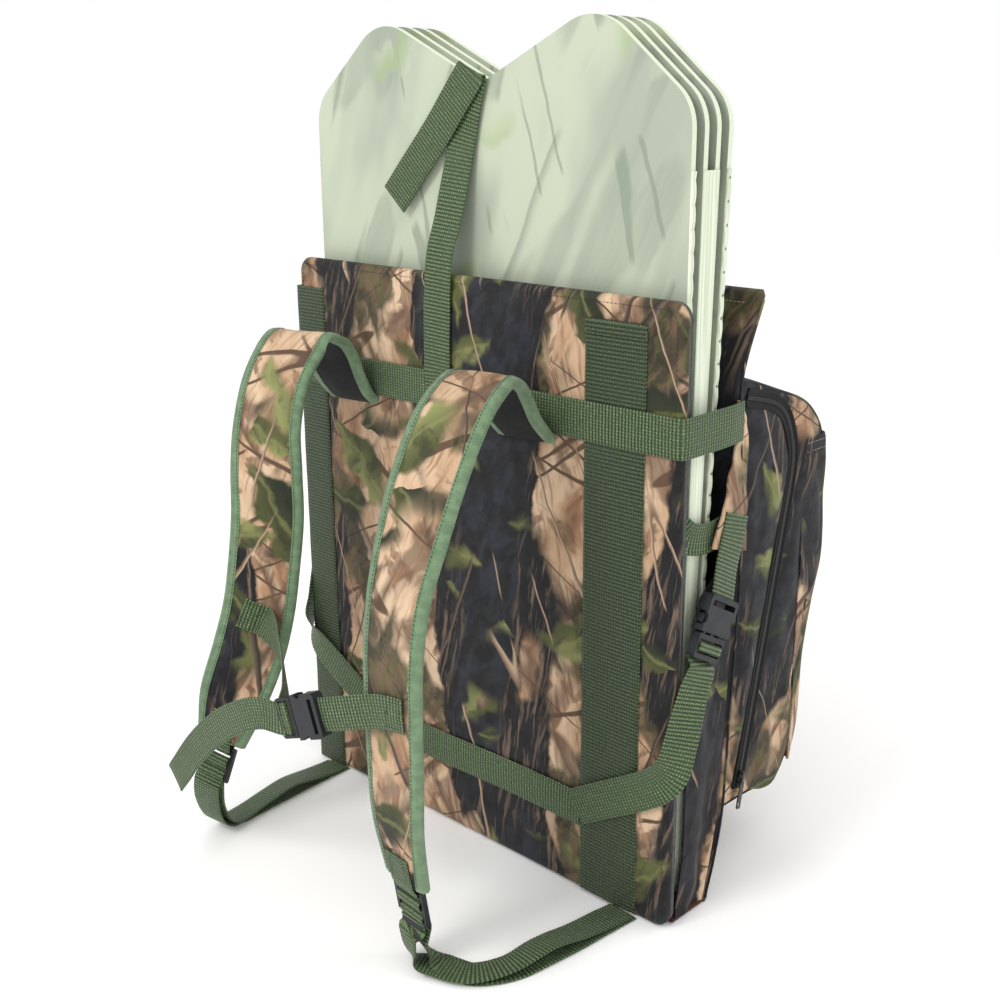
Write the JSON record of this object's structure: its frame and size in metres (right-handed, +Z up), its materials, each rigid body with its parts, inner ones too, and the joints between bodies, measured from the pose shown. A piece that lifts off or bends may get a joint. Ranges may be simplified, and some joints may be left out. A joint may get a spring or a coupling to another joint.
{
  "type": "pack frame with folded panel blind",
  "caption": "Camouflage back carrier with padded straps and a rear bag, holding a tall folded panel blind with a notched twin-peak top.",
  "frame": {"origin": "on the flat underside of the sleeve base, at mid width, 50 mm behind the harness-side face of the back panel", "axes": "+X to the right seen from the harness side, -Y towards the harness, +Z up the back panel"},
  "size_m": [0.5796, 0.5698, 0.876],
  "materials": {
    "camo_cloth": "matt woodland print",
    "base_cloth": "matt coated cloth",
    "lining": "matt",
    "foam": "closed cell foam",
    "stiffener": "sheet",
    "webbing": "ribbed woven tape",
    "binding": "fine woven tape",
    "zipper": "coil and tape",
    "buckle_plastic": "moulded satin",
    "blind_board": "pale faded print on fluted board"
  },
  "bodies": {
    "pack": {"back_panel_cover": "camo_cloth", "back_panel_foam": "foam", "back_panel_stiffener": "stiffener", "back_panel_lining": "lining", "web_strip_right": "webbing", "web_strip_left": "webbing", "upper_cross_strap": "webbing", "lower_cross_strap": "webbing", "strap_anchors": "lining", "sleeve_base": "camo_cloth", "rear_panel_cover": "camo_cloth", "rear_panel_foam": "foam", "side_gussets": "camo_cloth", "wing_tabs": "camo_cloth", "side_loops": "webbing", "bag_side_right": "camo_cloth", "bag_side_left": "camo_cloth", "bag_top": "camo_cloth", "bag_rear": "camo_cloth", "bag_bottom": "base_cloth", "outer_pocket": "camo_cloth", "zip_tapes": "zipper", "side_buckle_sockets": "buckle_plastic", "side_buckle_plugs": "buckle_plastic", "side_webs_upper": "webbing", "side_webs_lower": "webbing", "lower_webs": "webbing"},
    "blind": {"blind_panel_1": "blind_board", "blind_panel_2": "blind_board", "blind_panel_3": "blind_board", "blind_panel_4": "blind_board", "hinge_strips": "blind_board", "laced_edges": "blind_board"},
    "retaining_strap": {"retaining_strap": "webbing"},
    "harness": {"shoulder_strap_cover_right": "camo_cloth", "shoulder_strap_foam_right": "foam", "shoulder_strap_binding_right": "binding", "shoulder_strap_cover_left": "camo_cloth", "shoulder_strap_foam_left": "foam", "shoulder_strap_binding_left": "binding", "lock_loops": "webbing", "sternum_socket": "buckle_plastic", "sternum_plug": "buckle_plastic", "sternum_web_right": "webbing", "sternum_web_left": "webbing"},
    "side_door_right": {"side_door_right": "camo_cloth"},
    "zip_slider_right": {"zip_slider_right": "zipper"},
    "pull_tab_right": {"pull_tab_right": "zipper"},
    "ladder_lock_right": {"ladder_lock_right": "buckle_plastic"},
    "side_prong_front_right": {"side_prong_front_right": "buckle_plastic"},
    "side_prong_rear_right": {"side_prong_rear_right": "buckle_plastic"},
    "side_door_left": {"side_door_left": "camo_cloth"},
    "zip_slider_left": {"zip_slider_left": "zipper"},
    "pull_tab_left": {"pull_tab_left": "zipper"},
    "ladder_lock_left": {"ladder_lock_left": "buckle_plastic"},
    "side_prong_front_left": {"side_prong_front_left": "buckle_plastic"},
    "side_prong_rear_left": {"side_prong_rear_left": "buckle_plastic"},
    "sternum_prong_upper": {"sternum_prong_upper": "buckle_plastic"},
    "sternum_prong_lower": {"sternum_prong_lower": "buckle_plastic"}
  },
  "joints": [
    {"name": "blind_lift", "type": "slide", "parent": "pack", "child": "blind", "axis": [0, 0, 1], "range_m": [0, 0.65]},
    {"name": "retaining_strap_swing", "type": "hinge", "parent": "pack", "child": "retaining_strap", "pos_m": [-0.04, -0.0546, 0.5405], "axis": [1, 0, 0], "range_deg": [0, 75]},
    {"name": "harness_swing", "type": "hinge", "parent": "pack", "child": "harness", "pos_m": [-0.04, -0.061, 0.4915], "axis": [-1, 0, 0], "range_deg": [-8, 10], "deforming": ["lower_webs"]},
    {"name": "side_door_hinge_right", "type": "hinge", "parent": "pack", "child": "side_door_right", "pos_m": [0.2435, 0.093, 0.3], "axis": [0, 0, -1], "range_deg": [0, 80]},
    {"name": "zip_run_right", "type": "slide", "parent": "side_door_right", "child": "zip_slider_right", "axis": [0, 0.214, 0.9768], "range_m": [0, 0.29]},
    {"name": "pull_tab_flip_right", "type": "hinge", "parent": "zip_slider_right", "child": "pull_tab_right", "pos_m": [0.2501, 0.11129, 0.09445], "axis": [0, -0.9768, 0.214], "range_deg": [0, 120]},
    {"name": "side_prong_front_right_flex", "type": "hinge", "parent": "pack", "child": "side_prong_front_right", "pos_m": [0.282, -0.01936, 0.31809], "axis": [-1, 0, 0], "range_deg": [0, 8], "stiffness_Nm_per_rad": 0.08},
    {"name": "side_prong_rear_right_flex", "type": "hinge", "parent": "pack", "child": "side_prong_rear_right", "pos_m": [0.282, 0.00626, 0.30449], "axis": [1, 0, 0], "range_deg": [0, 8], "stiffness_Nm_per_rad": 0.08},
    {"name": "side_door_hinge_left", "type": "hinge", "parent": "pack", "child": "side_door_left", "pos_m": [-0.2435, 0.093, 0.3], "axis": [0, 0, 1], "range_deg": [0, 80]},
    {"name": "zip_run_left", "type": "slide", "parent": "side_door_left", "child": "zip_slider_left", "axis": [0, 0.214, 0.9768], "range_m": [0, 0.29]},
    {"name": "pull_tab_flip_left", "type": "hinge", "parent": "zip_slider_left", "child": "pull_tab_left", "pos_m": [-0.2501, 0.11129, 0.09445], "axis": [0, 0.9768, -0.214], "range_deg": [0, 120]},
    {"name": "side_prong_front_left_flex", "type": "hinge", "parent": "pack", "child": "side_prong_front_left", "pos_m": [-0.282, -0.01936, 0.31809], "axis": [-1, 0, 0], "range_deg": [0, 8], "stiffness_Nm_per_rad": 0.08},
    {"name": "side_prong_rear_left_flex", "type": "hinge", "parent": "pack", "child": "side_prong_rear_left", "pos_m": [-0.282, 0.00626, 0.30449], "axis": [1, 0, 0], "range_deg": [0, 8], "stiffness_Nm_per_rad": 0.08},
    {"name": "ladder_lock_tilt_right", "type": "hinge", "parent": "harness", "child": "ladder_lock_right", "pos_m": [0.12882, -0.26208, 0.08717], "axis": [-0.9975, 0.0649, 0.0276], "range_deg": [0, 18]},
    {"name": "ladder_lock_tilt_left", "type": "hinge", "parent": "harness", "child": "ladder_lock_left", "pos_m": [-0.18782, -0.25795, 0.12156], "axis": [-0.9016, -0.349, 0.2554], "range_deg": [0, 18]},
    {"name": "sternum_prong_upper_flex", "type": "hinge", "parent": "harness", "child": "sternum_prong_upper", "pos_m": [0.01451, -0.30007, 0.25323], "axis": [-0.0492, 0.9986, -0.0197], "range_deg": [0, 8], "stiffness_Nm_per_rad": 0.08},
    {"name": "sternum_prong_lower_flex", "type": "hinge", "parent": "harness", "child": "sternum_prong_lower", "pos_m": [0.0225, -0.3001, 0.23166], "axis": [0.0492, -0.9986, 0.0197], "range_deg": [0, 8], "stiffness_Nm_per_rad": 0.08}
  ],
  "couplings": [
    {"joint": "side_prong_rear_right_flex", "follows": "side_prong_front_right_flex", "ratio": 1},
    {"joint": "side_prong_rear_left_flex", "follows": "side_prong_front_left_flex", "ratio": 1},
    {"joint": "sternum_prong_lower_flex", "follows": "sternum_prong_upper_flex", "ratio": 1}
  ]
}
